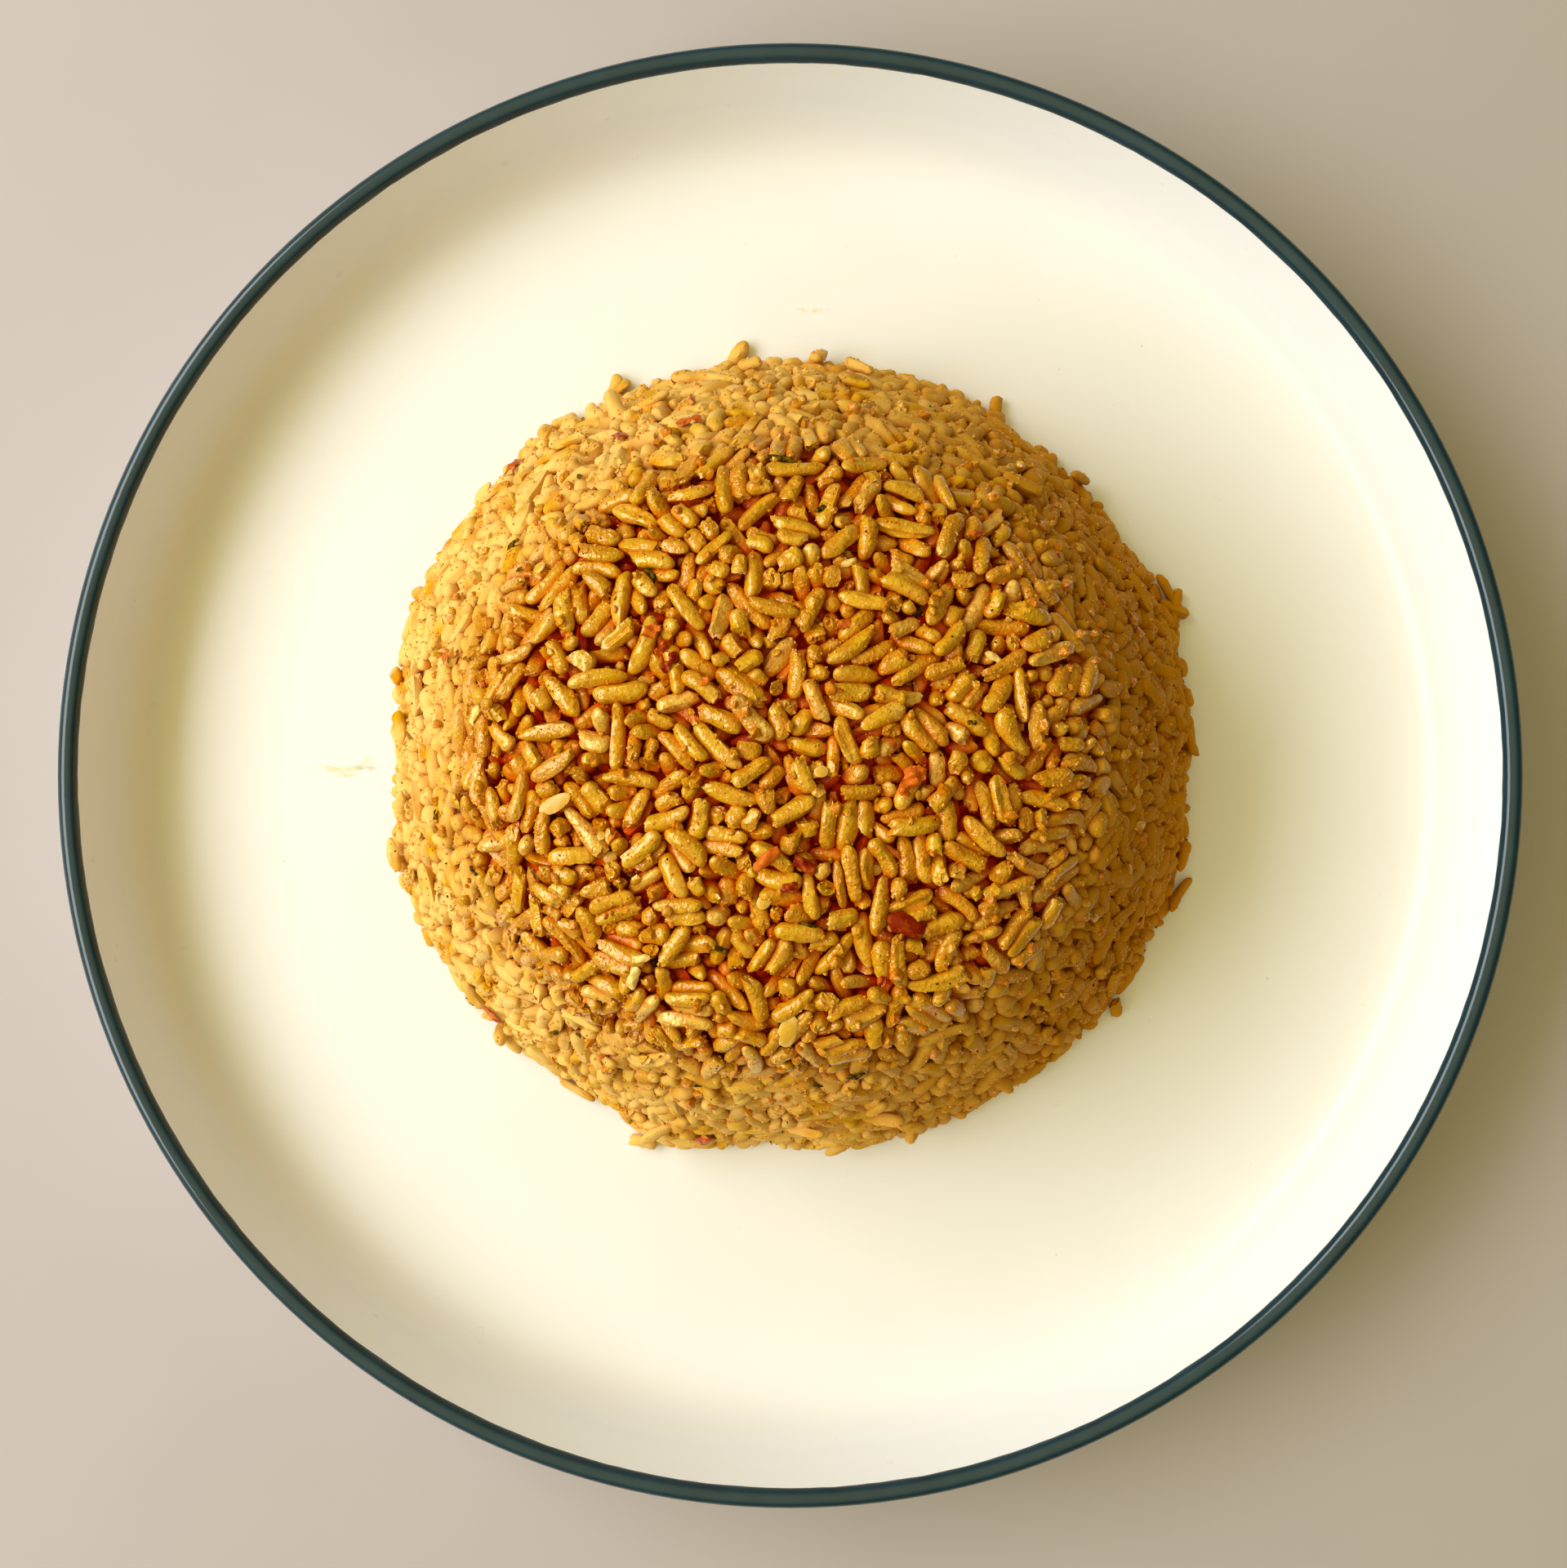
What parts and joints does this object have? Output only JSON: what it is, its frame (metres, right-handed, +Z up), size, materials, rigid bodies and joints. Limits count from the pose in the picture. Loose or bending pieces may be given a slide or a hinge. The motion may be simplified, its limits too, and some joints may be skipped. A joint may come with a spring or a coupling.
{
  "type": "jollof rice on a plate",
  "caption": "Moulded dome of jollof rice turned out on a round rimmed dinner plate, served as one dish and carried by its plate.",
  "frame": {"origin": "centre of the plate's foot ring, on the surface that it stands on", "axes": "+Z up, +X to the right and +Y away from the diner, seen from above; the mound stands a little towards +Y"},
  "size_m": [0.261, 0.261, 0.0685],
  "materials": {
    "glaze": "glossy cream glaze with a dark navy band round the lip",
    "rice": "cooked long-grain rice, golden orange, moist with oil, darker red-brown in the gaps",
    "chilli": "moist red pepper skin",
    "herb": "dried dark green thyme leaf and ground black pepper",
    "seed": "pale translucent pepper seed",
    "oil": "thin yellow cooking oil"
  },
  "bodies": {
    "root": {"plate": "glaze", "rice_mound": "rice"}
  },
  "joints": []
}
